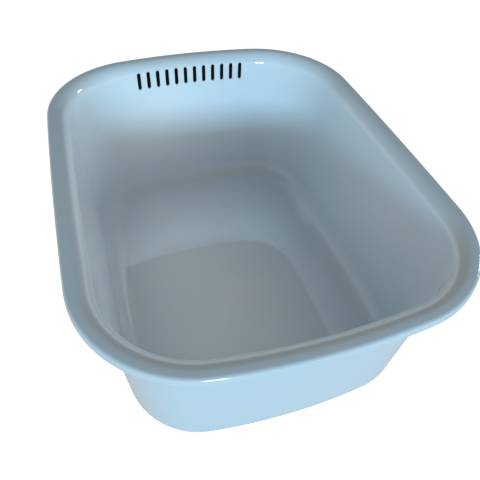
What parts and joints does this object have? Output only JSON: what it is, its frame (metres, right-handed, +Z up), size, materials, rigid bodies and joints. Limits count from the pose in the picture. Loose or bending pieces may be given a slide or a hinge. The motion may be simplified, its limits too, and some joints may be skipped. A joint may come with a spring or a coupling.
{
  "type": "washing up bowl",
  "caption": "Oblong plastic basin with bowed sides, large corner radii, a rolled rim with a turned-down lip, and a row of drain slots high in one end wall.",
  "frame": {"origin": "centre of the bounding box's bottom face, on the surface the foot ring stands on", "axes": "+Y towards the end with the drain slots, +X to the right of someone facing that end, +Z up"},
  "size_m": [0.303, 0.387, 0.158],
  "materials": {
    "plastic": "glossy pale blue moulded plastic"
  },
  "bodies": {
    "root": {"bowl": "plastic"}
  },
  "joints": []
}
